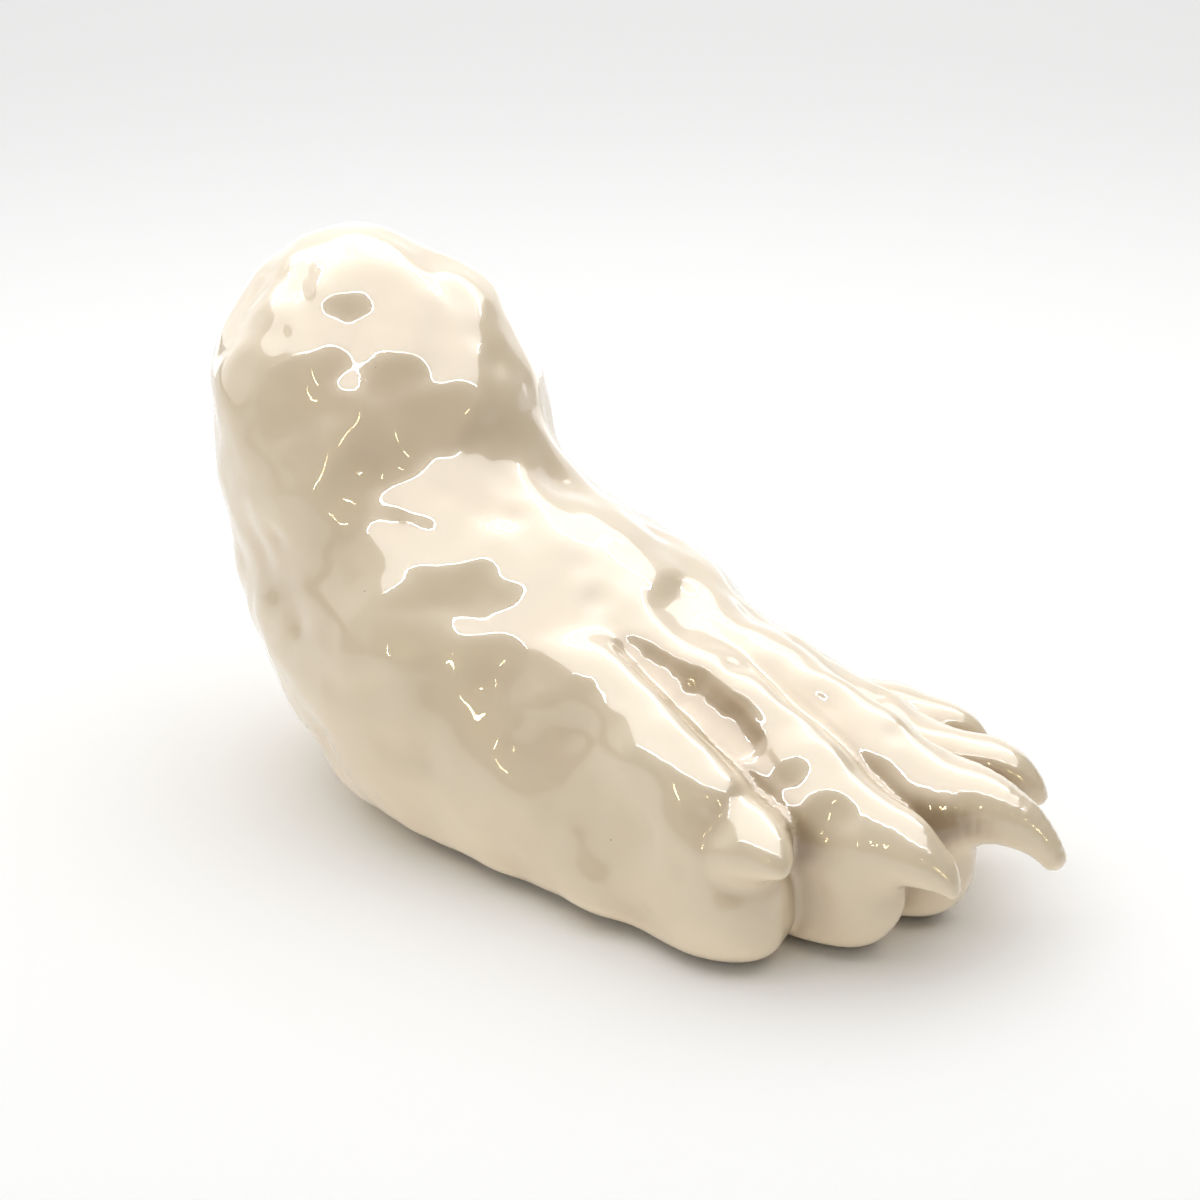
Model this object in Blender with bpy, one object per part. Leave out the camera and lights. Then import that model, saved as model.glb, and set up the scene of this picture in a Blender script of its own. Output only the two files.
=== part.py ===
"""A glazed ceramic bear paw: a rounded leg stump on a broad foot with five clawed toes.

The paw is one piece. Its true shape is a smooth blend of ellipsoids (leg, heel, shoulder, instep
and ball), five fingers with a pad under each, and five curved claws. Overlapping round solids are
fused into one skin, the skin is settled onto that blend, and finger presses are sunk into it.

Sizes are in metres. X runs forward to the claws, Y to the far side, Z up; the sole lies on z = 0.
"""
import math
import random

import bmesh
import bpy
import numpy as np
from mathutils import Matrix, Vector, noise

# The leg and the foot, as centre and half-lengths of the ellipsoids that they blend from.
LEG_DOME = ((-0.0775, 0.002, 0.1015), (0.0405, 0.0398, 0.0425))
LEG_SHAFT = ((-0.0695, 0.0025, 0.0620), (0.0447, 0.0425, 0.0540))
HEEL = ((-0.0340, 0.001, 0.0320), (0.0545, 0.0505, 0.0440))
SHOULDER = ((-0.0470, -0.004, 0.0510), (0.0450, 0.0460, 0.0440))
INSTEP = ((0.0010, 0.003, 0.0230), (0.0500, 0.0525, 0.0430))
BALL = ((0.0300, -0.001, 0.0120), (0.0360, 0.0500, 0.0260))
LEG = (LEG_DOME, LEG_SHAFT)
FOOT = (HEEL, SHOULDER, INSTEP, BALL)
MASS_BLEND = 0.024
ANKLE_BLEND = 0.012

# Toes, from the near side (-Y) to the far side. Each has its pad's place (reach, across), the Y of
# the finger's root and knuckle, the heights of its knuckle and end, how far behind the pad's centre
# it stops, and the claw's radius, root, tip, taper, blend and the depth of the groove round it.
TOES = (
    dict(reach=0.0490, across=-0.0430, root_y=-0.030, knuckle_y=-0.0355, knuckle_z=0.048, end_z=0.033,
         stop=0.006, claw_radius=0.0108, claw_root=(0.0570, -0.0440, 0.0318),
         claw_tip=(0.0706, -0.0522, 0.0328), claw_taper=1.0, claw_blend=0.0030, claw_ring=0.0006),
    dict(reach=0.0675, across=-0.0245, root_y=-0.011, knuckle_y=-0.0150, knuckle_z=0.046, end_z=0.030,
         stop=0.002, claw_radius=0.0108, claw_root=(0.0740, -0.0240, 0.0280), claw_tip=(0.1020, -0.0275, 0.0245),
         claw_taper=1.5, claw_blend=0.006, claw_ring=0.0),
    dict(reach=0.0765, across=-0.0035, root_y=0.003, knuckle_y=0.0020, knuckle_z=0.043, end_z=0.029,
         stop=0.002, claw_radius=0.0112, claw_root=(0.0820, -0.0030, 0.0280), claw_tip=(0.1155, -0.0020, 0.0245),
         claw_taper=1.5, claw_blend=0.006, claw_ring=0.0),
    dict(reach=0.0690, across=0.0180, root_y=0.015, knuckle_y=0.0180, knuckle_z=0.034, end_z=0.024,
         stop=0.002, claw_radius=0.0098, claw_root=(0.0750, 0.0180, 0.0260), claw_tip=(0.1035, 0.0200, 0.0260),
         claw_taper=1.5, claw_blend=0.006, claw_ring=0.0),
    dict(reach=0.0550, across=0.0345, root_y=0.027, knuckle_y=0.0350, knuckle_z=0.0235, end_z=0.020,
         stop=0.002, claw_radius=0.0088, claw_root=(0.0570, 0.0360, 0.0220), claw_tip=(0.0800, 0.0420, 0.0245),
         claw_taper=1.5, claw_blend=0.006, claw_ring=0.0),
)
TOES_START = -0.045          # no toe reaches back of this X
FINGER_BACK = 0.066          # from a pad's centre back to its finger's root
KNUCKLE_BACK = 0.029         # from a pad's centre back to the knuckle
ROOT_RISE = 0.004            # the finger's root above its knuckle
FINGER_RADIUS = 0.0172       # half-height of a finger at its fullest
FINGER_AT_ROOT = 0.84        # a finger's radius at its root over its fullest
FINGER_SWELL = 0.40          # how fast it swells from there
FINGER_SHRINK = 0.26         # and shrinks again towards its end
FINGER_NARROW = 0.80         # a finger's width over its height
PAD_RADII = (0.0207, 0.0133, 0.0215)
PAD_HEIGHT = 0.0150
CLAW_TIP_RADIUS = 0.0023
CLAW_RING_WIDTH = 0.0022     # of the groove round the root of the near toe's claw
CLAW_BEND = 0.65             # where along its length a claw bends
CLAW_ARCH = 0.0085           # how far a long claw bows up between its root and its tip
CLAW_ARCH_LENGTH = 0.030     # the length of claw that bows so far
FINGER_STEPS = 7             # straight runs that a finger's curve is made of
CLAW_STEPS = 14

# Clefts pressed in between the toes: the curve that each follows, and its radius along it.
CLEFTS = (
    (((0.0170, -0.0255, 0.0640), (0.0320, -0.0268, 0.0590), (0.0490, -0.0300, 0.0495)),
     (0.0035, 0.0065, 0.0030)),
)
CLEFT_STEPS = 8
CLEFT_EDGE = 0.004

PAD_BLEND = 0.006
BETWEEN_TOES_BLEND = 0.0025
TOES_TO_FOOT_BLEND = 0.008
SOLE_EDGE = 0.009

# Finger presses: shallow dents wound round the paw's spine, broad ones all over and small ones on
# the foot.
LEG_SPINE = ((-0.077, 0.003, 0.118), (-0.074, 0.003, 0.080), (-0.060, 0.003, 0.050))
FOOT_SPINE = ((-0.062, 0.003, 0.040), (0.000, 0.000, 0.035), (0.070, 0.000, 0.022))
LEG_PRESSES = dict(count=44, radii=(0.0085, 0.0135), depths=(0.0012, 0.0026))
FOOT_PRESSES = dict(count=84, radii=(0.0065, 0.0105), depths=(0.0009, 0.0022))
SMALL_PRESSES = dict(count=80, radii=(0.0032, 0.0055), depths=(0.0005, 0.0013))
PRESS_LEAN = 0.5             # how far a press may lean along the spine, as a slope
DOME_LEAN = 1.6              # and further up over the dome for the leg's first half
PRESS_SEED = 11
GOLDEN_ANGLE = math.pi * (3.0 - math.sqrt(5.0))
SEARCH_REACH = 0.090         # the farthest that the skin lies from the spine
SEARCH_STEPS = 240

# The dents that stand out: centre, radius and depth.
DENTS = (
    ((-0.0600, -0.0307, 0.1175), 0.0230, 0.0060),    # the flat of the leg's front
    ((-0.0420, -0.0230, 0.1130), 0.0130, 0.0028),
    ((-0.0661, -0.0230, 0.1323), 0.0075, 0.0019),    # a dimple high on it
    ((0.0119, -0.0504, 0.0485), 0.0150, 0.0024),     # the foot's near side
    ((0.0320, -0.0460, 0.0480), 0.0080, -0.0014),    # a fold below the near toe's ridge
    ((0.0483, -0.0478, 0.0420), 0.0028, -0.0014),    # a nub above the near claw
    ((0.0657, -0.0357, 0.0373), 0.0030, -0.0008),    # and one in the cleft
    ((-0.0350, -0.0300, 0.0780), 0.0065, 0.0014),    # where the leg meets the foot
    ((-0.0050, -0.0160, 0.0725), 0.0038, 0.0017),
    ((0.0030, -0.0190, 0.0690), 0.0038, 0.0017),
    ((-0.0660, -0.0420, 0.0700), 0.0110, 0.0016),    # the leg's near side
    ((-0.0500, -0.0340, 0.0970), 0.0090, 0.0025),    # the groove above the foot's shoulder
    ((-0.0410, -0.0260, 0.0990), 0.0090, 0.0025),
    ((-0.0330, -0.0140, 0.1020), 0.0090, 0.0020),
    ((0.0310, -0.0550, 0.0350), 0.0110, 0.0024),     # behind the near claw
    ((0.0085, -0.0515, 0.0465), 0.0080, 0.0012),
    ((0.0200, -0.0510, 0.0070), 0.0090, -0.0024),    # a bulge low on the near side
    ((0.0360, -0.0530, 0.0090), 0.0060, 0.0018),     # and the dip between it and the near toe
    ((0.0590, -0.0075, 0.0505), 0.0050, 0.0014),     # between the second and third toes
    ((0.0210, 0.0370, 0.0480), 0.0150, 0.0050),      # the far side, behind the fourth toe
)
LUMP_SIZE = 0.021
LUMP_HEIGHT = 0.0020
KNOB_SIZE = 0.0085
KNOB_HEIGHT = 0.0006
SOLE_CALM = 0.009            # below this height the relief fades out towards the sole

SKIN_VOXEL = 0.0014
SETTLE_STEPS = 5
GRADIENT_STEP = 0.0004
LARGEST_MOVE = 0.002
LEAST_STEEPNESS = 0.05       # keeps the moves small where the blend is nearly level
POOL_REACH = 0.005           # skin nearer than this, on the way out, shuts a place in
CREASE_FROM = 0.15           # where the skin is shut in more than this, it is smoothed
CREASE_SMOOTHING = 8
BLOB_SEGMENTS = 32
TRIANGLES = 10000
SOLE_SNAP = 0.0004           # what lies this close to the floor belongs to the flat sole

GLAZE_COLOUR = (0.60, 0.50, 0.37, 1.0)
GLAZE_ROUGHNESS = 0.12


def smooth_min(a, b, blend):
    """The lower of two distances, rounded where they are within blend of each other."""
    share = np.clip(0.5 + 0.5 * (b - a) / blend, 0.0, 1.0)
    return b * (1.0 - share) + a * share - blend * share * (1.0 - share)


def smooth_max(a, b, blend):
    return -smooth_min(-a, -b, blend)


def ellipsoid(points, centre, radii):
    """Distance from each point to an ellipsoid's skin, negative inside it."""
    offset = points - np.array(centre)
    radii = np.array(radii)
    near = np.linalg.norm(offset / radii, axis=1)
    slope = np.linalg.norm(offset / radii ** 2, axis=1)
    return near * (near - 1.0) / np.maximum(slope, 1e-9)


def blended(points, masses):
    """Distance to ellipsoids that run into each other."""
    nearest = ellipsoid(points, *masses[0])
    for centre, radii in masses[1:]:
        nearest = smooth_min(nearest, ellipsoid(points, centre, radii), MASS_BLEND)
    return nearest


def curve_points(start, bend, end, steps):
    """Points along the quadratic curve that leaves start towards bend and arrives at end."""
    t = np.linspace(0.0, 1.0, steps + 1)[:, None]
    return (1 - t) ** 2 * np.array(start) + 2 * (1 - t) * t * np.array(bend) + t ** 2 * np.array(end)


def tube(points, path, radii, narrow=1.0):
    """Distance to a tube that follows a path, squeezed across Y by narrow."""
    squeeze = np.array((1.0, 1.0 / narrow, 1.0))
    points = points * squeeze
    path = path * squeeze
    nearest = np.full(len(points), np.inf)
    for i in range(len(path) - 1):
        run = path[i + 1] - path[i]
        t = np.clip((points - path[i]) @ run / (run @ run), 0.0, 1.0)
        gap = np.linalg.norm(points - path[i] - t[:, None] * run, axis=1)
        nearest = np.minimum(nearest, gap - radii[i] * (1.0 - t) - radii[i + 1] * t)
    return nearest * (0.5 + 0.5 * narrow)


def finger_path(toe):
    root = (toe["reach"] - FINGER_BACK, toe["root_y"], toe["knuckle_z"] + ROOT_RISE)
    knuckle = (toe["reach"] - KNUCKLE_BACK, toe["knuckle_y"], toe["knuckle_z"])
    end = (toe["reach"] - toe["stop"], toe["across"], toe["end_z"])
    return curve_points(root, knuckle, end, FINGER_STEPS)


def claw_path(toe):
    root = np.array(toe["claw_root"])
    tip = np.array(toe["claw_tip"])
    length = tip[0] - root[0]
    bend = root * (1.0 - CLAW_BEND) + tip * CLAW_BEND
    bend[2] = max(root[2], tip[2]) + CLAW_ARCH * (length / CLAW_ARCH_LENGTH) ** 2
    return curve_points(root, bend, tip, CLAW_STEPS)


def finger_radii():
    t = np.linspace(0.0, 1.0, FINGER_STEPS + 1)
    return FINGER_RADIUS * (FINGER_AT_ROOT + FINGER_SWELL * t - FINGER_SHRINK * t ** 2)


def claw_radii(toe):
    t = np.linspace(0.0, 1.0, CLAW_STEPS + 1) ** toe["claw_taper"]
    return toe["claw_radius"] * (1.0 - t) + CLAW_TIP_RADIUS * t


def pad_centre(toe):
    return (toe["reach"], toe["across"], PAD_HEIGHT)


def cleft_radii(radii):
    """A cleft's radius at each step, from its radii at the start, middle and end."""
    return np.interp(np.linspace(0.0, 1.0, CLEFT_STEPS + 1), (0.0, 0.5, 1.0), radii)


def toe_form(points, toe):
    finger = tube(points, finger_path(toe), finger_radii(), FINGER_NARROW)
    pad = ellipsoid(points, pad_centre(toe), PAD_RADII)
    claw = tube(points, claw_path(toe), claw_radii(toe))
    paw = smooth_min(finger, pad, PAD_BLEND)
    if toe["claw_ring"]:
        from_ring = np.linalg.norm(points - np.array(toe["claw_root"]), axis=1) - toe["claw_radius"]
        paw = paw + toe["claw_ring"] * np.exp(-(from_ring / CLAW_RING_WIDTH) ** 2)
    return smooth_min(paw, claw, toe["claw_blend"])


def paw_form(points):
    """Distance from each point to the paw's skin, before its finger presses."""
    body = smooth_min(blended(points, LEG), blended(points, FOOT), ANKLE_BLEND)
    forward = points[:, 0] > TOES_START
    ahead = points[forward]
    toes = toe_form(ahead, TOES[0])
    for toe in TOES[1:]:
        toes = smooth_min(toes, toe_form(ahead, toe), BETWEEN_TOES_BLEND)
    toes = smooth_min(body[forward], toes, TOES_TO_FOOT_BLEND)
    for path, radii in CLEFTS:
        toes = smooth_max(toes, -tube(ahead, curve_points(*path, CLEFT_STEPS), cleft_radii(radii)),
                          CLEFT_EDGE)
    body[forward] = toes
    return smooth_max(body, -points[:, 2], SOLE_EDGE)


def form_slope(points):
    """How fast the distance grows along X, Y and Z."""
    slopes = []
    for axis in np.eye(3) * GRADIENT_STEP:
        slopes.append((paw_form(points + axis) - paw_form(points - axis)) / (2 * GRADIENT_STEP))
    return np.stack(slopes, axis=1)


def skin_point(start, direction):
    """Where a ray from inside the paw meets its skin."""
    steps = np.linspace(0.0, SEARCH_REACH, SEARCH_STEPS)
    gaps = paw_form(start + steps[:, None] * direction)
    return start + steps[np.argmax(gaps > 0.0)] * direction


def wound_presses(draw, spine, count, radii, depths):
    """Centre, radius and depth of each press, wound round a spine by the golden angle."""
    path = curve_points(*spine, count - 1)
    along = np.gradient(path, axis=0)
    presses = []
    for i in range(count):
        forward = Vector(along[i]).normalized()
        side = forward.cross(Vector((0.0, 1.0, 0.0))).normalized()
        direction = Matrix.Rotation(i * GOLDEN_ANGLE, 3, forward) @ side
        direction += forward * draw.uniform(-PRESS_LEAN, PRESS_LEAN)
        if spine is LEG_SPINE and i < count // 2:
            direction += forward * draw.uniform(-DOME_LEAN, 0.0)
        centre = skin_point(path[i], np.array(direction.normalized()))
        presses.append((centre, draw.uniform(*radii), draw.uniform(*depths)))
    return presses


def all_presses():
    draw = random.Random(PRESS_SEED)
    presses = wound_presses(draw, LEG_SPINE, **LEG_PRESSES)
    presses += wound_presses(draw, FOOT_SPINE, **FOOT_PRESSES)
    presses += wound_presses(draw, FOOT_SPINE, **SMALL_PRESSES)
    return presses + [(np.array(centre), radius, depth) for centre, radius, depth in DENTS]


def relief(points, presses):
    """How far the skin stands out (or in, below zero) from the blend, by its presses and lumps."""
    height = np.zeros(len(points))
    for centre, radius, depth in presses:
        apart = np.sum((points - centre) ** 2, axis=1) / radius ** 2
        height -= depth * np.exp(-apart)
    for i, point in enumerate(points):
        height[i] += LUMP_HEIGHT * noise.noise(Vector(point / LUMP_SIZE))
        height[i] += KNOB_HEIGHT * noise.noise(Vector(point / KNOB_SIZE))
    return height * np.clip(points[:, 2] / SOLE_CALM, 0.0, 1.0)


def shut_in(points):
    """How far each place on the skin is shut in by skin facing it, and the way out from it."""
    slope = form_slope(points)
    outward = slope / np.maximum(np.linalg.norm(slope, axis=1), 0.001)[:, None]
    free = paw_form(points + outward * POOL_REACH) / POOL_REACH
    return np.clip(1.0 - free, 0.0, 1.0), outward


def add_blob(skin, centre, radii):
    """One round solid, cut flat where it would go below the sole."""
    blob = bmesh.new()
    place = Matrix.Translation(centre) @ Matrix.Diagonal((*radii, 1.0))
    bmesh.ops.create_uvsphere(blob, u_segments=BLOB_SEGMENTS, v_segments=BLOB_SEGMENTS // 2,
                              radius=1.0, matrix=place)
    cut = bmesh.ops.bisect_plane(blob, geom=blob.verts[:] + blob.edges[:] + blob.faces[:],
                                 plane_co=(0.0, 0.0, 0.0), plane_no=(0.0, 0.0, -1.0), clear_outer=True)
    rim = [part for part in cut["geom_cut"] if isinstance(part, bmesh.types.BMEdge)]
    if rim:
        bmesh.ops.edgeloop_fill(blob, edges=rim)
    bmesh.ops.recalc_face_normals(blob, faces=blob.faces)
    mesh = bpy.data.meshes.new("blob")
    blob.to_mesh(mesh)
    blob.free()
    skin.from_mesh(mesh)
    bpy.data.meshes.remove(mesh)


def rough_skin():
    """Every round solid of the paw in one mesh, still overlapping."""
    skin = bmesh.new()
    for centre, radii in LEG + FOOT:
        add_blob(skin, centre, radii)
    for toe in TOES:
        add_blob(skin, pad_centre(toe), PAD_RADII)
        for point, radius in zip(finger_path(toe), finger_radii()):
            add_blob(skin, point, (radius, radius * FINGER_NARROW, radius))
        for point, radius in zip(claw_path(toe), claw_radii(toe)):
            add_blob(skin, point, (radius, radius, radius))
    mesh = bpy.data.meshes.new("bear_paw")
    skin.to_mesh(mesh)
    skin.free()
    return mesh


def apply_modifiers(paw):
    bpy.context.view_layer.update()
    evaluated = paw.evaluated_get(bpy.context.evaluated_depsgraph_get())
    finished = bpy.data.meshes.new_from_object(evaluated)
    paw.modifiers.clear()
    paw.data = finished


def fuse(paw):
    """Joins the overlapping solids into one closed skin of small even faces."""
    remesh = paw.modifiers.new("fuse", "REMESH")
    remesh.mode = "VOXEL"
    remesh.voxel_size = SKIN_VOXEL
    apply_modifiers(paw)


def carve(paw):
    """Cuts the clefts between the toes out of the skin, and evens out its faces again."""
    cut = bmesh.new()
    for path, radii in CLEFTS:
        for point, radius in zip(curve_points(*path, CLEFT_STEPS), cleft_radii(radii)):
            add_blob(cut, point, (radius, radius, radius))
    mesh = bpy.data.meshes.new("clefts")
    cut.to_mesh(mesh)
    cut.free()
    clefts = bpy.data.objects.new("clefts", mesh)
    bpy.context.scene.collection.objects.link(clefts)
    fuse(clefts)
    carving = paw.modifiers.new("carve", "BOOLEAN")
    carving.operation = "DIFFERENCE"
    carving.solver = "MANIFOLD"
    carving.object = clefts
    apply_modifiers(paw)
    bpy.data.objects.remove(clefts, do_unlink=True)
    fuse(paw)


def corners(paw):
    flat = np.empty(len(paw.data.vertices) * 3)
    paw.data.vertices.foreach_get("co", flat)
    return flat.reshape(-1, 3)


def settle(paw):
    """Moves every corner of the skin onto the smooth blend."""
    points = corners(paw)
    for _ in range(SETTLE_STEPS):
        slope = form_slope(points)
        steepness = np.maximum(np.sum(slope ** 2, axis=1), LEAST_STEEPNESS)
        move = np.clip(paw_form(points) / steepness, -LARGEST_MOVE, LARGEST_MOVE)
        points = points - move[:, None] * slope
    paw.data.vertices.foreach_set("co", points.ravel())


def calm_creases(paw):
    """Evens out the skin where it is shut in between the toes."""
    shut, _ = shut_in(corners(paw))
    creases = paw.vertex_groups.new(name="creases")
    for i in np.flatnonzero(shut > CREASE_FROM):
        creases.add([int(i)], float(shut[i]), "REPLACE")
    calm = paw.modifiers.new("calm", "SMOOTH")
    calm.vertex_group = creases.name
    calm.factor = 0.5
    calm.iterations = CREASE_SMOOTHING
    apply_modifiers(paw)
    paw.vertex_groups.clear()


def press(paw):
    """Sinks the finger presses into the skin, less where it is shut in, and flattens the sole."""
    points = corners(paw)
    shut, outward = shut_in(points)
    points = points + (relief(points, all_presses()) * (1.0 - shut))[:, None] * outward
    points[points[:, 2] < SOLE_SNAP, 2] = 0.0
    paw.data.vertices.foreach_set("co", points.ravel())
    paw.data.update()


def thin_out(paw):
    """Fewer triangles where the skin is nearly flat, with the sole kept in one plane."""
    paw.data.calc_loop_triangles()
    decimate = paw.modifiers.new("thin_out", "DECIMATE")
    decimate.ratio = TRIANGLES / len(paw.data.loop_triangles)
    apply_modifiers(paw)
    for corner in paw.data.vertices:
        if corner.co.z < SOLE_SNAP:
            corner.co.z = 0.0


def glaze():
    material = bpy.data.materials.new("glaze")
    material.use_nodes = True
    shader = material.node_tree.nodes["Principled BSDF"]
    shader.inputs["Base Color"].default_value = GLAZE_COLOUR
    shader.inputs["Roughness"].default_value = GLAZE_ROUGHNESS
    shader.inputs["Metallic"].default_value = 0.0
    return material


def build():
    for leftover in list(bpy.data.objects):
        bpy.data.objects.remove(leftover, do_unlink=True)
    paw = bpy.data.objects.new("bear_paw", rough_skin())
    bpy.context.scene.collection.objects.link(paw)
    fuse(paw)
    carve(paw)
    settle(paw)
    calm_creases(paw)
    press(paw)
    thin_out(paw)
    paw.data.materials.append(glaze())
    paw.data.shade_smooth()


build()
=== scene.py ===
"""The looks of the glazed ceramic bear paw: its skin, glaze, light tent, floor and camera.

Sizes are in metres. X runs forward to the claws, Y to the far side, Z up; the floor is z = 0.
"""
import math
import random

import bpy
import numpy as np
from mathutils import Matrix, Vector, noise

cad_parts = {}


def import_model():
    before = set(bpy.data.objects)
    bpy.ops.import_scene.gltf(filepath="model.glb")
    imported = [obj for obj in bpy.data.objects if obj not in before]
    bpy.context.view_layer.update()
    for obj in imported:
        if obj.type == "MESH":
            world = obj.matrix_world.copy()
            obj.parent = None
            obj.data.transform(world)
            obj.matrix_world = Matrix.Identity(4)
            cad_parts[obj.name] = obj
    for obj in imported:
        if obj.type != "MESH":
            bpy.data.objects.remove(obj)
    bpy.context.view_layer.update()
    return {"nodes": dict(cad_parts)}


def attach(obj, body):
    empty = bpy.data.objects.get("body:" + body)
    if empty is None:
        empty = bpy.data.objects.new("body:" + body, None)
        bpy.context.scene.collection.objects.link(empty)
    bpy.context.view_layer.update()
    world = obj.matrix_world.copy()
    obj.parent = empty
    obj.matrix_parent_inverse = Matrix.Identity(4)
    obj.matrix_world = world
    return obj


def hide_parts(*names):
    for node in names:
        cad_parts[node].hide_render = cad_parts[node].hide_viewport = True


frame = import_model()

# The leg and the foot, as centre and half-lengths of the ellipsoids that they blend from.
LEG_DOME = ((-0.0775, 0.002, 0.1015), (0.0405, 0.0398, 0.0425))
LEG_SHAFT = ((-0.0695, 0.0025, 0.0620), (0.0447, 0.0425, 0.0540))
HEEL = ((-0.0340, 0.001, 0.0320), (0.0545, 0.0505, 0.0440))
SHOULDER = ((-0.0470, -0.004, 0.0510), (0.0450, 0.0460, 0.0440))
INSTEP = ((0.0010, 0.003, 0.0230), (0.0500, 0.0525, 0.0430))
BALL = ((0.0300, -0.001, 0.0120), (0.0360, 0.0500, 0.0260))
LEG = (LEG_DOME, LEG_SHAFT)
FOOT = (HEEL, SHOULDER, INSTEP, BALL)
MASS_BLEND = 0.024
ANKLE_BLEND = 0.012

# Toes, from the near side (-Y) to the far side. Each has its pad's place (reach, across), the Y of
# the finger's root and knuckle, the heights of its knuckle and end, how far behind the pad's centre
# it stops, and the claw's radius, root, tip, taper, blend and the depth of the groove round it.
TOES = (
    dict(reach=0.0490, across=-0.0430, root_y=-0.030, knuckle_y=-0.0355, knuckle_z=0.048, end_z=0.033,
         stop=0.006, claw_radius=0.0108, claw_root=(0.0570, -0.0440, 0.0318),
         claw_tip=(0.0706, -0.0522, 0.0328), claw_taper=1.0, claw_blend=0.0030, claw_ring=0.0006),
    dict(reach=0.0675, across=-0.0245, root_y=-0.011, knuckle_y=-0.0150, knuckle_z=0.046, end_z=0.030,
         stop=0.002, claw_radius=0.0108, claw_root=(0.0740, -0.0240, 0.0280),
         claw_tip=(0.1020, -0.0275, 0.0245), claw_taper=1.5, claw_blend=0.006, claw_ring=0.0),
    dict(reach=0.0765, across=-0.0035, root_y=0.003, knuckle_y=0.0020, knuckle_z=0.043, end_z=0.029,
         stop=0.002, claw_radius=0.0112, claw_root=(0.0820, -0.0030, 0.0280),
         claw_tip=(0.1155, -0.0020, 0.0245), claw_taper=1.5, claw_blend=0.006, claw_ring=0.0),
    dict(reach=0.0690, across=0.0180, root_y=0.015, knuckle_y=0.0180, knuckle_z=0.034, end_z=0.024,
         stop=0.002, claw_radius=0.0098, claw_root=(0.0750, 0.0180, 0.0260),
         claw_tip=(0.1035, 0.0200, 0.0260), claw_taper=1.5, claw_blend=0.006, claw_ring=0.0),
    dict(reach=0.0550, across=0.0345, root_y=0.027, knuckle_y=0.0350, knuckle_z=0.0235, end_z=0.020,
         stop=0.002, claw_radius=0.0088, claw_root=(0.0570, 0.0360, 0.0220),
         claw_tip=(0.0800, 0.0420, 0.0245), claw_taper=1.5, claw_blend=0.006, claw_ring=0.0),
)
TOES_START = -0.045          # no toe reaches back of this X
FINGER_BACK = 0.066          # from a pad's centre back to its finger's root
KNUCKLE_BACK = 0.029         # from a pad's centre back to the knuckle
ROOT_RISE = 0.004            # the finger's root above its knuckle
FINGER_RADIUS = 0.0172       # half-height of a finger at its fullest
FINGER_AT_ROOT = 0.84        # a finger's radius at its root over its fullest
FINGER_SWELL = 0.40          # how fast it swells from there
FINGER_SHRINK = 0.26         # and shrinks again towards its end
FINGER_NARROW = 0.80         # a finger's width over its height
PAD_RADII = (0.0207, 0.0133, 0.0215)
PAD_HEIGHT = 0.0150
CLAW_TIP_RADIUS = 0.0023
CLAW_RING_WIDTH = 0.0022     # of the groove round the root of the near toe's claw
CLAW_BEND = 0.65             # where along its length a claw bends
CLAW_ARCH = 0.0085           # how far a long claw bows up between its root and its tip
CLAW_ARCH_LENGTH = 0.030     # the length of claw that bows so far
FINGER_STEPS = 7             # straight runs that a finger's curve is made of
CLAW_STEPS = 14

# Clefts pressed in between the toes: the curve that each follows, and its radius at the curve's
# start, middle and end.
CLEFTS = (
    (((0.0170, -0.0255, 0.0640), (0.0320, -0.0268, 0.0590), (0.0490, -0.0300, 0.0495)),
     (0.0035, 0.0065, 0.0030)),
)
CLEFT_STEPS = 8
CLEFT_EDGE = 0.004

PAD_BLEND = 0.006
BETWEEN_TOES_BLEND = 0.0025
TOES_TO_FOOT_BLEND = 0.008
SOLE_EDGE = 0.009

# Finger presses: shallow dents wound round the paw's spine, broad ones all over and small ones on
# the foot.
LEG_SPINE = ((-0.077, 0.003, 0.118), (-0.074, 0.003, 0.080), (-0.060, 0.003, 0.050))
FOOT_SPINE = ((-0.062, 0.003, 0.040), (0.000, 0.000, 0.035), (0.070, 0.000, 0.022))
LEG_PRESSES = dict(count=44, radii=(0.0085, 0.0135), depths=(0.0012, 0.0026))
FOOT_PRESSES = dict(count=84, radii=(0.0065, 0.0105), depths=(0.0009, 0.0022))
SMALL_PRESSES = dict(count=80, radii=(0.0032, 0.0055), depths=(0.0005, 0.0013))
PRESS_LEAN = 0.5             # how far a press may lean along the spine, as a slope
DOME_LEAN = 1.6              # and further up over the dome for the leg's first half
PRESS_SEED = 11
GOLDEN_ANGLE = math.pi * (3.0 - math.sqrt(5.0))
SEARCH_REACH = 0.090         # the farthest that the skin lies from the spine
SEARCH_STEPS = 240

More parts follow.
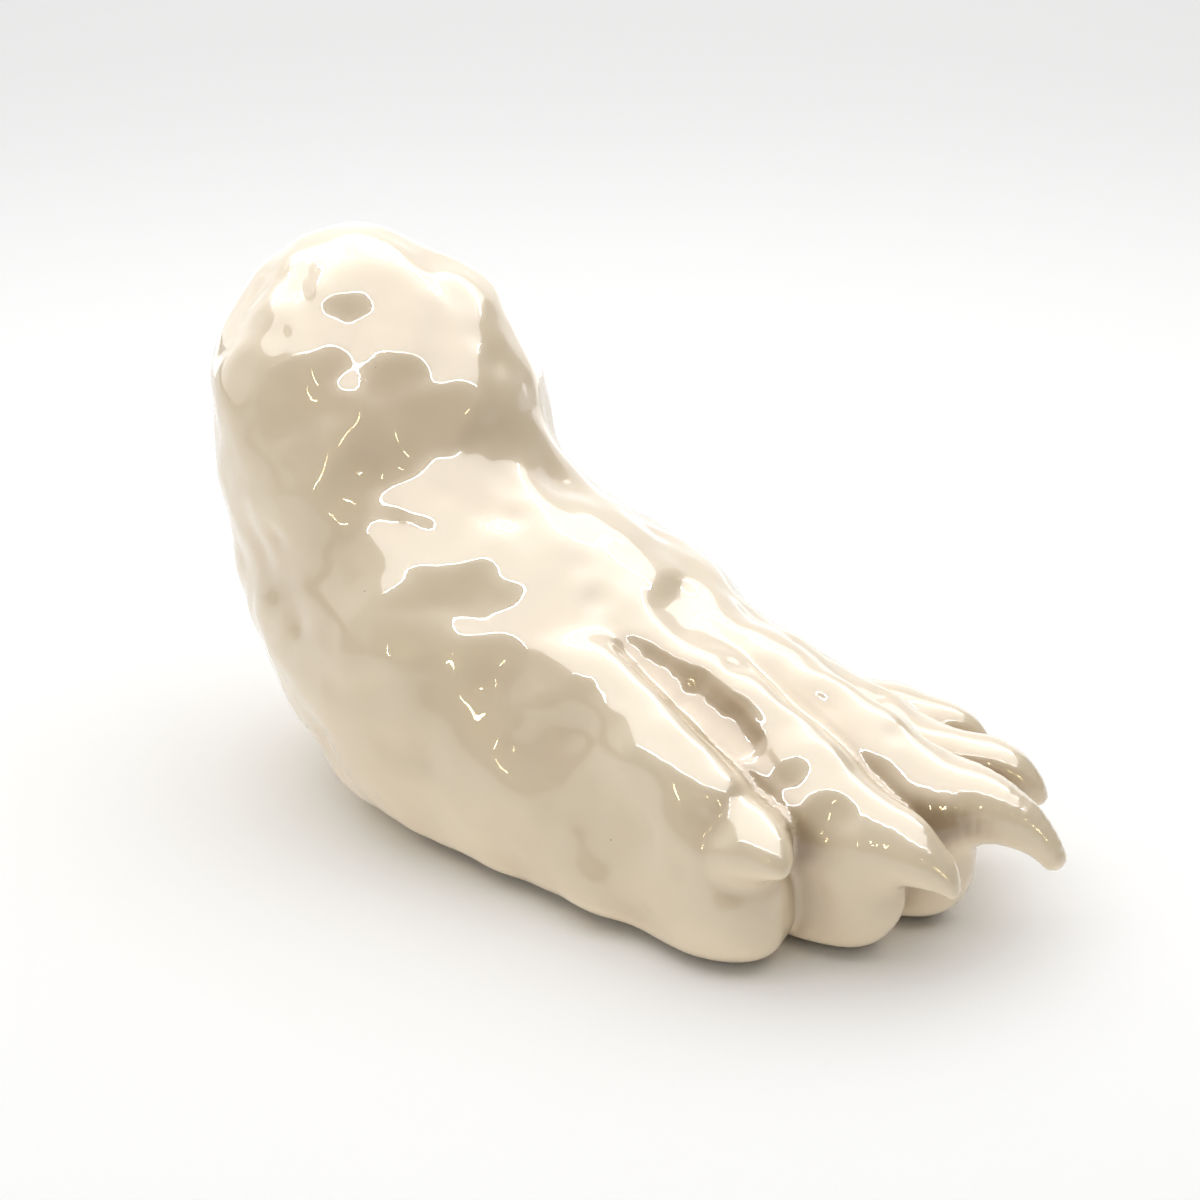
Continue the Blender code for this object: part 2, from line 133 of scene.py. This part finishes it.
# The dents that stand out: centre, radius and depth.
DENTS = (
    ((-0.0600, -0.0307, 0.1175), 0.0230, 0.0060),    # the flat of the leg's front
    ((-0.0420, -0.0230, 0.1130), 0.0130, 0.0028),
    ((-0.0661, -0.0230, 0.1323), 0.0075, 0.0019),    # a dimple high on it
    ((0.0119, -0.0504, 0.0485), 0.0150, 0.0024),     # the foot's near side
    ((0.0320, -0.0460, 0.0480), 0.0080, -0.0014),    # a fold below the near toe's ridge
    ((0.0483, -0.0478, 0.0420), 0.0028, -0.0014),    # a nub above the near claw
    ((0.0657, -0.0357, 0.0373), 0.0030, -0.0008),    # and one in the cleft
    ((-0.0350, -0.0300, 0.0780), 0.0065, 0.0014),    # where the leg meets the foot
    ((-0.0050, -0.0160, 0.0725), 0.0038, 0.0017),
    ((0.0030, -0.0190, 0.0690), 0.0038, 0.0017),
    ((-0.0660, -0.0420, 0.0700), 0.0110, 0.0016),    # the leg's near side
    ((-0.0500, -0.0340, 0.0970), 0.0090, 0.0025),    # the groove above the foot's shoulder
    ((-0.0410, -0.0260, 0.0990), 0.0090, 0.0025),
    ((-0.0330, -0.0140, 0.1020), 0.0090, 0.0020),
    ((0.0310, -0.0550, 0.0350), 0.0110, 0.0024),     # behind the near claw
    ((0.0085, -0.0515, 0.0465), 0.0080, 0.0012),
    ((0.0200, -0.0510, 0.0070), 0.0090, -0.0024),    # a bulge low on the near side
    ((0.0360, -0.0530, 0.0090), 0.0060, 0.0018),     # and the dip between it and the near toe
    ((0.0590, -0.0075, 0.0505), 0.0050, 0.0014),     # between the second and third toes
    ((0.0210, 0.0370, 0.0480), 0.0150, 0.0050),      # the far side, behind the fourth toe
)
LUMP_SIZE = 0.021
LUMP_HEIGHT = 0.0020
KNOB_SIZE = 0.0085
KNOB_HEIGHT = 0.0006
SOLE_CALM = 0.009            # below this height the relief fades out towards the sole

SKIN_VOXEL = 0.00106         # the size of the skin's faces
SETTLE_STEPS = 4             # how often the skin is moved onto the blend
GRADIENT_STEP = 0.0003
LARGEST_MOVE = 0.003
LEAST_STEEPNESS = 0.05       # keeps the moves small where the blend is nearly level
LEAST_SLOPE = 0.001          # keeps the way out from dividing by nothing

# Where the skin is shut in: a crease, a hollow between toes, or a dent. Creases are smoothed there,
# and the glaze is darkened there as painted shade.
CREASE_REACH = 0.005
SHADE_REACH = 0.010
CREASE_FROM = 0.15           # where the skin is shut in more than this, it is smoothed
CREASE_SMOOTHING = 12
CREASE_SHARE = 0.5           # how far each smoothing goes towards the even skin
SHADE_IN_DENTS = 60.0         # painted shade added per metre of dent depth

# The glaze's own colour where the skin is open; a darker colour that paints shade where the skin is
# half shut in and also tints the random clouds; and the painted shade deep in a crease.
GLAZE_OPEN = (0.665, 0.56, 0.40, 1.0)
GLAZE_CLOUD_AND_SHADE = (0.58, 0.465, 0.32, 1.0)
GLAZE_DEEP_SHADE = (0.30, 0.21, 0.12, 1.0)
SHADE_MIDDLE_AT = 0.50             # how shut in the skin is where the painted shade has its middle colour
CLOUD_SIZE = 0.030           # soft clouds of that darker middle colour, a tone that varies at random
CLOUD_DETAIL = 3.0
CLOUD_RANGE = (0.35, 0.65)   # the noise values where a cloud starts and is full
CLOUD_SHARE = 0.35
SPECK_SPACING = 0.011
SPECK_RADIUS = 0.00022
SPECK_EDGE = (0.5, 1.2)      # of a speck's radius, where it starts and ends fading out
SPECK_SHARE = 0.8
SPECK_COLOUR = (0.06, 0.045, 0.03, 1.0)
CLAY_ROUGHNESS = 0.35
COAT_ROUGHNESS = 0.006
COAT_IOR = 1.5

PAPER_COLOUR = (0.90, 0.90, 0.895, 1.0)
PAPER_ROUGHNESS = 0.9
FLOOR_RADIUS = 2.5
FLOOR_SIDES = 96
BACKDROP_HEIGHT = 2.5

# The camera, at the photograph's viewing angle.
CAMERA_AZIMUTH = math.radians(31.0)
CAMERA_ELEVATION = math.radians(25.0)
CAMERA_DISTANCE = 0.583
CAMERA_LENS = 70.0
CAMERA_CLIP = 0.01
CAMERA_AIM = Vector((-0.007, -0.001, 0.060))

# The directions that the lights are placed by, as the camera sees them.
TOWARD = Vector((math.sin(CAMERA_AZIMUTH), -math.cos(CAMERA_AZIMUTH), 0.0))
RIGHT = Vector((math.cos(CAMERA_AZIMUTH), math.sin(CAMERA_AZIMUTH), 0.0))
UP = Vector((0.0, 0.0, 1.0))
DOWN = -UP

# The tent of light. It is open towards the camera. Lights are given by their radiance.
TENT_FRONT = 0.27            # the ceiling's front edge, from the paw towards the camera
TENT_BACK = -0.50
TENT_MIDDLE = (TENT_FRONT + TENT_BACK) / 2
TENT_DEPTH = TENT_FRONT - TENT_BACK
TENT_SIDE = 0.50             # from the middle to a side wall
TENT_WIDTH = 2 * TENT_SIDE
TENT_HEIGHT = 0.50
CEILING_LIGHT = 0.85
CEILING_GLEAM = 3.65
GLEAM_DROP = 0.01            # how far the ceiling's gleam hangs below it
BACK_WALL_GLEAM = 1.3
WALL_FOOT = 0.12             # the side walls are dull below this height
WALL_BANDS = (1.0, 0.85, 0.60, 0.30)     # how bright a side wall is, from the back to the front
SIDE_WALLS = (("wall_left", -TENT_SIDE, 1.9), ("wall_right", TENT_SIDE, 0.35))

# The bright strips below the ceiling: name, place towards the camera, width and radiance.
STRIPS = (("strip_front", TENT_FRONT, 0.013, 42.0), ("strip_back", -0.25, 0.011, 65.0))
STRIP_DROP = 0.02

# Soft lights that only fill: name, place (towards the camera, right and up), the way it faces or
# None for the paw, the way its width lies, width, depth and radiance.
FILLS = (
    ("sheet", (-1.80, 0.0, 1.60), DOWN, RIGHT, 5.0, 5.0, 1.05),
    ("far_floor", (-1.70, 0.0, 1.10), DOWN, RIGHT, 3.5, 1.0, 0.30),
    ("front", (1.0, 0.0, 1.3), None, RIGHT, 2.0, 1.0, 0.15),
    ("front_floor", (2.10, 0.0, 1.20), DOWN, RIGHT, 4.5, 2.2, 0.38),
    ("bounce", (0.0, 0.0, 0.003), UP, RIGHT, 1.4, 1.4, 0.50),
    ("fill_left", (0.8, -1.1, 0.45), None, UP, 0.9, 1.0, 1.15),
    ("fill_right", (0.8, 1.1, 0.45), None, UP, 0.9, 1.0, 0.15),
)

# Warm lamps out in the room, which the glaze shows as short golden arcs.
LAMPS = ((1.3, -0.35, 0.75), (1.3, 0.30, 0.60), (1.0, -0.60, 0.40), (1.0, 0.70, 0.35))
LAMP_WIDTH = 0.24
LAMP_DEPTH = 0.022
LAMP_RADIANCE = 70.0
LAMP_COLOUR = (1.0, 0.80, 0.42)

# What the glaze reflects beyond the tent: white walls, and the dark room towards the camera. Their
# edges are cosines of the angle from the camera's side, and one fades into the other in between.
WALL_LIGHT = 1.25
WALL_EDGE = 0.30
ROOM_LIGHT = 0.12
ROOM_EDGE = 0.60


def smooth_min(a, b, blend):
    """The lower of two distances, rounded where they are within blend of each other."""
    share = np.clip(0.5 + 0.5 * (b - a) / blend, 0.0, 1.0)
    return b * (1.0 - share) + a * share - blend * share * (1.0 - share)


def smooth_max(a, b, blend):
    return -smooth_min(-a, -b, blend)


def ellipsoid(points, centre, radii):
    """Distance from each point to an ellipsoid's skin, negative inside it."""
    offset = points - np.array(centre)
    radii = np.array(radii)
    near = np.linalg.norm(offset / radii, axis=1)
    slope = np.linalg.norm(offset / radii ** 2, axis=1)
    return near * (near - 1.0) / np.maximum(slope, 1e-9)


def blended(points, masses):
    """Distance to ellipsoids that run into each other."""
    nearest = ellipsoid(points, *masses[0])
    for centre, radii in masses[1:]:
        nearest = smooth_min(nearest, ellipsoid(points, centre, radii), MASS_BLEND)
    return nearest


def curve_points(start, bend, end, steps):
    """Points along the quadratic curve that leaves start towards bend and arrives at end."""
    t = np.linspace(0.0, 1.0, steps + 1)[:, None]
    return (1 - t) ** 2 * np.array(start) + 2 * (1 - t) * t * np.array(bend) + t ** 2 * np.array(end)


def tube(points, path, radii, narrow=1.0):
    """Distance to a tube that follows a path, squeezed across Y by narrow."""
    squeeze = np.array((1.0, 1.0 / narrow, 1.0))
    points = points * squeeze
    path = path * squeeze
    nearest = np.full(len(points), np.inf)
    for i in range(len(path) - 1):
        run = path[i + 1] - path[i]
        t = np.clip((points - path[i]) @ run / (run @ run), 0.0, 1.0)
        gap = np.linalg.norm(points - path[i] - t[:, None] * run, axis=1)
        nearest = np.minimum(nearest, gap - radii[i] * (1.0 - t) - radii[i + 1] * t)
    return nearest * (0.5 + 0.5 * narrow)


def finger_path(toe):
    root = (toe["reach"] - FINGER_BACK, toe["root_y"], toe["knuckle_z"] + ROOT_RISE)
    knuckle = (toe["reach"] - KNUCKLE_BACK, toe["knuckle_y"], toe["knuckle_z"])
    end = (toe["reach"] - toe["stop"], toe["across"], toe["end_z"])
    return curve_points(root, knuckle, end, FINGER_STEPS)


def claw_path(toe):
    root = np.array(toe["claw_root"])
    tip = np.array(toe["claw_tip"])
    length = tip[0] - root[0]
    bend = root * (1.0 - CLAW_BEND) + tip * CLAW_BEND
    bend[2] = max(root[2], tip[2]) + CLAW_ARCH * (length / CLAW_ARCH_LENGTH) ** 2
    return curve_points(root, bend, tip, CLAW_STEPS)


def finger_radii():
    t = np.linspace(0.0, 1.0, FINGER_STEPS + 1)
    return FINGER_RADIUS * (FINGER_AT_ROOT + FINGER_SWELL * t - FINGER_SHRINK * t ** 2)


def claw_radii(toe):
    t = np.linspace(0.0, 1.0, CLAW_STEPS + 1) ** toe["claw_taper"]
    return toe["claw_radius"] * (1.0 - t) + CLAW_TIP_RADIUS * t


def pad_centre(toe):
    return (toe["reach"], toe["across"], PAD_HEIGHT)


def cleft_radii(radii):
    """A cleft's radius at each step, from its radii at the start, middle and end."""
    return np.interp(np.linspace(0.0, 1.0, CLEFT_STEPS + 1), (0.0, 0.5, 1.0), radii)


def toe_form(points, toe):
    finger = tube(points, finger_path(toe), finger_radii(), FINGER_NARROW)
    pad = ellipsoid(points, pad_centre(toe), PAD_RADII)
    claw = tube(points, claw_path(toe), claw_radii(toe))
    paw = smooth_min(finger, pad, PAD_BLEND)
    if toe["claw_ring"]:
        from_ring = np.linalg.norm(points - np.array(toe["claw_root"]), axis=1) - toe["claw_radius"]
        paw = paw + toe["claw_ring"] * np.exp(-(from_ring / CLAW_RING_WIDTH) ** 2)
    return smooth_min(paw, claw, toe["claw_blend"])


def paw_form(points):
    """Distance from each point to the paw's skin, before its finger presses."""
    body = smooth_min(blended(points, LEG), blended(points, FOOT), ANKLE_BLEND)
    forward = points[:, 0] > TOES_START
    ahead = points[forward]
    toes = toe_form(ahead, TOES[0])
    for toe in TOES[1:]:
        toes = smooth_min(toes, toe_form(ahead, toe), BETWEEN_TOES_BLEND)
    toes = smooth_min(body[forward], toes, TOES_TO_FOOT_BLEND)
    for path, radii in CLEFTS:
        toes = smooth_max(toes, -tube(ahead, curve_points(*path, CLEFT_STEPS), cleft_radii(radii)),
                          CLEFT_EDGE)
    body[forward] = toes
    return smooth_max(body, -points[:, 2], SOLE_EDGE)


def form_slope(points):
    """How fast the distance grows along X, Y and Z."""
    slopes = []
    for axis in np.eye(3) * GRADIENT_STEP:
        slopes.append((paw_form(points + axis) - paw_form(points - axis)) / (2 * GRADIENT_STEP))
    return np.stack(slopes, axis=1)


def skin_point(start, direction):
    """Where a ray from inside the paw meets its skin."""
    steps = np.linspace(0.0, SEARCH_REACH, SEARCH_STEPS)
    gaps = paw_form(start + steps[:, None] * direction)
    return start + steps[np.argmax(gaps > 0.0)] * direction


def wound_presses(draw, spine, count, radii, depths):
    """Centre, radius and depth of each press, wound round a spine by the golden angle."""
    path = curve_points(*spine, count - 1)
    along = np.gradient(path, axis=0)
    presses = []
    for i in range(count):
        forward = Vector(along[i]).normalized()
        side = forward.cross(Vector((0.0, 1.0, 0.0))).normalized()
        direction = Matrix.Rotation(i * GOLDEN_ANGLE, 3, forward) @ side
        direction += forward * draw.uniform(-PRESS_LEAN, PRESS_LEAN)
        if spine is LEG_SPINE and i < count // 2:
            direction += forward * draw.uniform(-DOME_LEAN, 0.0)
        centre = skin_point(path[i], np.array(direction.normalized()))
        presses.append((centre, draw.uniform(*radii), draw.uniform(*depths)))
    return presses


def all_presses():
    draw = random.Random(PRESS_SEED)
    presses = wound_presses(draw, LEG_SPINE, **LEG_PRESSES)
    presses += wound_presses(draw, FOOT_SPINE, **FOOT_PRESSES)
    presses += wound_presses(draw, FOOT_SPINE, **SMALL_PRESSES)
    return presses + [(np.array(centre), radius, depth) for centre, radius, depth in DENTS]


def relief(points, presses):
    """How far the skin stands out (or in, below zero) from the blend, by its presses and lumps."""
    height = np.zeros(len(points))
    for centre, radius, depth in presses:
        apart = np.sum((points - centre) ** 2, axis=1) / radius ** 2
        height -= depth * np.exp(-apart)
    for i, point in enumerate(points):
        height[i] += LUMP_HEIGHT * noise.noise(Vector(point / LUMP_SIZE))
        height[i] += KNOB_HEIGHT * noise.noise(Vector(point / KNOB_SIZE))
    return height * np.clip(points[:, 2] / SOLE_CALM, 0.0, 1.0)


def apply_modifiers(piece):
    bpy.context.view_layer.update()
    evaluated = piece.evaluated_get(bpy.context.evaluated_depsgraph_get())
    finished = bpy.data.meshes.new_from_object(evaluated)
    piece.modifiers.clear()
    piece.data = finished


def way_out(points):
    """The direction out of the skin at each point on it."""
    slope = form_slope(points)
    return slope / np.maximum(np.linalg.norm(slope, axis=1), LEAST_SLOPE)[:, None]


def shut_in(points, outward, reach):
    """How far each point on the skin is shut in by skin that faces it within reach, from 0 to 1."""
    free = paw_form(points + outward * reach) / reach
    return np.clip(1.0 - free, 0.0, 1.0)


def corner_places(mesh):
    flat = np.empty(len(mesh.vertices) * 3)
    mesh.vertices.foreach_get("co", flat)
    return flat.reshape(-1, 3)


def fuse(paw):
    """Gives the paw one closed skin of small even faces."""
    remesh = paw.modifiers.new("fuse", "REMESH")
    remesh.mode = "VOXEL"
    remesh.voxel_size = SKIN_VOXEL
    apply_modifiers(paw)


def settle(paw):
    """Moves the skin onto the smooth blend, and returns how far each corner is shut in there."""
    points = corner_places(paw.data)
    for _ in range(SETTLE_STEPS):
        slope = form_slope(points)
        steepness = np.maximum(np.sum(slope ** 2, axis=1), LEAST_STEEPNESS)
        move = np.clip(paw_form(points) / steepness, -LARGEST_MOVE, LARGEST_MOVE)
        points = points - move[:, None] * slope
    paw.data.vertices.foreach_set("co", points.ravel())
    return shut_in(points, way_out(points), CREASE_REACH)


def calm_creases(paw, shut):
    """Evens out the skin where it is shut in between the toes."""
    creases = paw.vertex_groups.new(name="creases")
    for i in np.flatnonzero(shut > CREASE_FROM):
        creases.add([int(i)], float(shut[i]), "REPLACE")
    calm = paw.modifiers.new("calm", "SMOOTH")
    calm.vertex_group = creases.name
    calm.factor = CREASE_SHARE
    calm.iterations = CREASE_SMOOTHING
    apply_modifiers(paw)


def press(mesh):
    """Sinks the finger presses into the skin, and notes how shut in it is, more in the dents, for the
    painted shade in the glaze.
    """
    points = corner_places(mesh)
    outward = way_out(points)
    height = relief(points, all_presses()) * (1.0 - shut_in(points, outward, CREASE_REACH))
    # Painted shade: how shut in the skin is, plus the depth of its dents, later darkens the glaze.
    painted_shade = np.clip(shut_in(points, outward, SHADE_REACH) - height * SHADE_IN_DENTS, 0.0, 1.0)
    points = points + height[:, None] * outward
    points[:, 2] = np.maximum(points[:, 2], 0.0)
    mesh.vertices.foreach_set("co", points.ravel())
    mesh.attributes.new("painted_shade", "FLOAT", "POINT").data.foreach_set("value", painted_shade)
    mesh.update()


def skin():
    """The paw's skin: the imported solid, remeshed finely, settled onto the blend and pressed."""
    node = frame["nodes"]["bear_paw"]
    paw = bpy.data.objects.new("bear_paw_skin", node.data.copy())
    paw.matrix_world = node.matrix_world
    bpy.context.scene.collection.objects.link(paw)
    fuse(paw)
    calm_creases(paw, settle(paw))
    press(paw.data)
    paw.data.shade_smooth()
    return paw


def new_material(name):
    material = bpy.data.materials.new(name)
    material.use_nodes = True
    return material, material.node_tree.nodes, material.node_tree.links


def place_node(nodes):
    """The place in the paw's own space."""
    return nodes.new("ShaderNodeTexCoord").outputs["Object"]


def noise_node(nodes, links, place, size, detail):
    texture = nodes.new("ShaderNodeTexNoise")
    texture.inputs["Scale"].default_value = 1.0 / size
    texture.inputs["Detail"].default_value = detail
    links.new(place, texture.inputs["Vector"])
    return texture.outputs["Fac"]


def range_node(nodes, links, value, low, high, to_low, to_high):
    mapped = nodes.new("ShaderNodeMapRange")
    mapped.inputs["From Min"].default_value = low
    mapped.inputs["From Max"].default_value = high
    mapped.inputs["To Min"].default_value = to_low
    mapped.inputs["To Max"].default_value = to_high
    links.new(value, mapped.inputs["Value"])
    return mapped.outputs["Result"]


def blend_node(nodes, links, share, first, second):
    """A mix of two colours, each a colour or another node's output."""
    mix = nodes.new("ShaderNodeMix")
    mix.data_type = "RGBA"
    links.new(share, mix.inputs["Factor"])
    for socket, colour in ((mix.inputs["A"], first), (mix.inputs["B"], second)):
        if isinstance(colour, tuple):
            socket.default_value = colour
        else:
            links.new(colour, socket)
    return mix.outputs["Result"]


def glaze_material():
    """Clear glaze on a cream body: it is darkened as painted shade in the creases, hollows and dents,
    has soft clouds of a darker tone, and shows the iron specks of the clay."""
    material, nodes, links = new_material("glaze")
    shader = nodes["Principled BSDF"]
    place = place_node(nodes)
    painted_shade = nodes.new("ShaderNodeAttribute")
    painted_shade.attribute_name = "painted_shade"
    # Painted shade: the glaze darkens from its own colour towards a deep brown as the skin is shut
    # in.
    ramp = nodes.new("ShaderNodeValToRGB")
    links.new(painted_shade.outputs["Fac"], ramp.inputs["Fac"])
    stops = ramp.color_ramp.elements
    stops[0].position, stops[0].color = 0.0, GLAZE_OPEN
    stops[1].position, stops[1].color = 1.0, GLAZE_DEEP_SHADE
    middle = stops.new(SHADE_MIDDLE_AT)
    middle.color = GLAZE_CLOUD_AND_SHADE
    clouds = noise_node(nodes, links, place, CLOUD_SIZE, CLOUD_DETAIL)
    cloud = range_node(nodes, links, clouds, *CLOUD_RANGE, 0.0, CLOUD_SHARE)
    colour = blend_node(nodes, links, cloud, ramp.outputs["Color"], GLAZE_CLOUD_AND_SHADE)
    specks = nodes.new("ShaderNodeTexVoronoi")
    specks.inputs["Scale"].default_value = 1.0 / SPECK_SPACING
    links.new(place, specks.inputs["Vector"])
    fade = [edge * SPECK_RADIUS / SPECK_SPACING for edge in SPECK_EDGE]
    inside = range_node(nodes, links, specks.outputs["Distance"], *fade, SPECK_SHARE, 0.0)
    colour = blend_node(nodes, links, inside, colour, SPECK_COLOUR)
    links.new(colour, shader.inputs["Base Color"])
    shader.inputs["Roughness"].default_value = CLAY_ROUGHNESS
    shader.inputs["Coat Weight"].default_value = 1.0
    shader.inputs["Coat Roughness"].default_value = COAT_ROUGHNESS
    shader.inputs["Coat IOR"].default_value = COAT_IOR
    return material


def floor_edge(height):
    """The corners of the floor's round edge, at a height."""
    turns = [2 * math.pi * i / FLOOR_SIDES for i in range(FLOOR_SIDES)]
    return [(FLOOR_RADIUS * math.cos(turn), FLOOR_RADIUS * math.sin(turn), height) for turn in turns]


def stage_piece(name, corners, faces, material):
    mesh = bpy.data.meshes.new(name)
    mesh.from_pydata(corners, [], faces)
    mesh.materials.append(material)
    piece = bpy.data.objects.new(name, mesh)
    bpy.context.scene.collection.objects.link(piece)
    return piece


def floor():
    material, nodes, _ = new_material("floor_paper")
    shader = nodes["Principled BSDF"]
    shader.inputs["Base Color"].default_value = PAPER_COLOUR
    shader.inputs["Roughness"].default_value = PAPER_ROUGHNESS
    shader.inputs["Specular IOR Level"].default_value = 0.0
    stage_piece("floor", floor_edge(0.0), [range(FLOOR_SIDES)], material)


def backdrop():
    """A pale wall round the floor. It shows only as background, and lights nothing."""
    material, nodes, _ = new_material("backdrop_paper")
    shader = nodes["Principled BSDF"]
    shader.inputs["Base Color"].default_value = (0.0, 0.0, 0.0, 1.0)
    shader.inputs["Specular IOR Level"].default_value = 0.0
    shader.inputs["Emission Color"].default_value = PAPER_COLOUR
    shader.inputs["Emission Strength"].default_value = 1.0
    faces = []
    for i in range(FLOOR_SIDES):
        after = (i + 1) % FLOOR_SIDES
        faces.append((i, after, after + FLOOR_SIDES, i + FLOOR_SIDES))
    wall = stage_piece("backdrop", floor_edge(0.0) + floor_edge(BACKDROP_HEIGHT), faces, material)
    wall.visible_diffuse = False
    wall.visible_glossy = False
    wall.visible_shadow = False


def area_light(name, place, facing, across, width, depth, radiance, colour=(1.0, 1.0, 1.0)):
    """A rectangle of light. It shines the way it is facing, and its width lies across."""
    lamp = bpy.data.lights.new(name, "AREA")
    lamp.shape = "RECTANGLE"
    lamp.size = width
    lamp.size_y = depth
    lamp.energy = radiance * math.pi * width * depth
    lamp.color = colour
    light = bpy.data.objects.new(name, lamp)
    back = -facing.normalized()
    side = across.normalized()
    light.matrix_world = Matrix.Translation(place) @ Matrix(
        (side, back.cross(side), back)).transposed().to_4x4()
    light.visible_camera = False
    bpy.context.scene.collection.objects.link(light)
    return light


def in_tent(toward, right, height):
    return TOWARD * toward + RIGHT * right + UP * height


def side_wall(name, side, radiance):
    """The gleam of a side wall, in upright bands that grow duller towards the camera."""
    bands = []
    width = TENT_DEPTH / len(WALL_BANDS)
    for band, share in enumerate(WALL_BANDS):
        place = in_tent(TENT_BACK + width * (band + 0.5), side, (TENT_HEIGHT + WALL_FOOT) / 2)
        inward = -RIGHT * side
        bands.append(area_light(name, place, inward, TOWARD, width, TENT_HEIGHT - WALL_FOOT,
                                radiance * share))
    return bands


def tent():
    """A tent of light: a ceiling with two bright strips, three walls and a dark open front.

    The ceiling alone both lights the paw and gleams on it. The fills don't gleam on the glaze, and
    the gleams don't light anything else.
    """
    area_light("ceiling", in_tent(TENT_MIDDLE, 0.0, TENT_HEIGHT), DOWN, RIGHT, TENT_WIDTH, TENT_DEPTH,
               CEILING_LIGHT)
    for name, place, facing, across, width, depth, radiance in FILLS:
        place = in_tent(*place)
        facing = -place if facing is None else facing
        area_light(name, place, facing, across, width, depth, radiance).visible_glossy = False
    gleams = [area_light("gleam", in_tent(TENT_MIDDLE, 0.0, TENT_HEIGHT - GLEAM_DROP), DOWN, RIGHT,
                         TENT_WIDTH, TENT_DEPTH, CEILING_GLEAM),
              area_light("wall_back", in_tent(TENT_BACK, 0.0, TENT_HEIGHT / 2), TOWARD, RIGHT,
                         TENT_WIDTH, TENT_HEIGHT, BACK_WALL_GLEAM)]
    for name, toward, width, radiance in STRIPS:
        gleams.append(area_light(name, in_tent(toward, 0.0, TENT_HEIGHT - STRIP_DROP), DOWN, RIGHT,
                                 TENT_WIDTH, width, radiance))
    for name, side, radiance in SIDE_WALLS:
        gleams += side_wall(name, side, radiance)
    for place in LAMPS:
        place = in_tent(*place)
        gleams.append(area_light("lamp", place, -place, UP, LAMP_WIDTH, LAMP_DEPTH, LAMP_RADIANCE,
                                 LAMP_COLOUR))
    for gleam in gleams:
        gleam.visible_diffuse = False


def world():
    """White walls behind and beside the paw, and the dark room in front of it."""
    sky = bpy.data.worlds.new("tent_walls")
    sky.use_nodes = True
    nodes = sky.node_tree.nodes
    links = sky.node_tree.links
    where = nodes.new("ShaderNodeTexCoord")
    front = nodes.new("ShaderNodeVectorMath")
    front.operation = "DOT_PRODUCT"
    front.inputs[1].default_value = TOWARD
    links.new(where.outputs["Generated"], front.inputs[0])
    strength = range_node(nodes, links, front.outputs["Value"], WALL_EDGE, ROOM_EDGE, WALL_LIGHT,
                          ROOM_LIGHT)
    strength.node.interpolation_type = "SMOOTHSTEP"
    links.new(strength, nodes["Background"].inputs["Strength"])
    sky.cycles_visibility.diffuse = False
    bpy.context.scene.world = sky


def camera():
    data = bpy.data.cameras.new("camera")
    data.lens = CAMERA_LENS
    data.clip_start = CAMERA_CLIP
    eye = bpy.data.objects.new("camera", data)
    back = (TOWARD * math.cos(CAMERA_ELEVATION) + UP * math.sin(CAMERA_ELEVATION)).normalized()
    eye.matrix_world = Matrix.Translation(CAMERA_AIM + back * CAMERA_DISTANCE) @ Matrix(
        (RIGHT, back.cross(RIGHT), back)).transposed().to_4x4()
    bpy.context.scene.collection.objects.link(eye)
    bpy.context.scene.camera = eye


paw = skin()
paw.data.materials.clear()
paw.data.materials.append(glaze_material())
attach(paw, "root")
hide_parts("bear_paw")
floor()
backdrop()
tent()
world()
camera()
bpy.context.scene.view_settings.view_transform = "Standard"
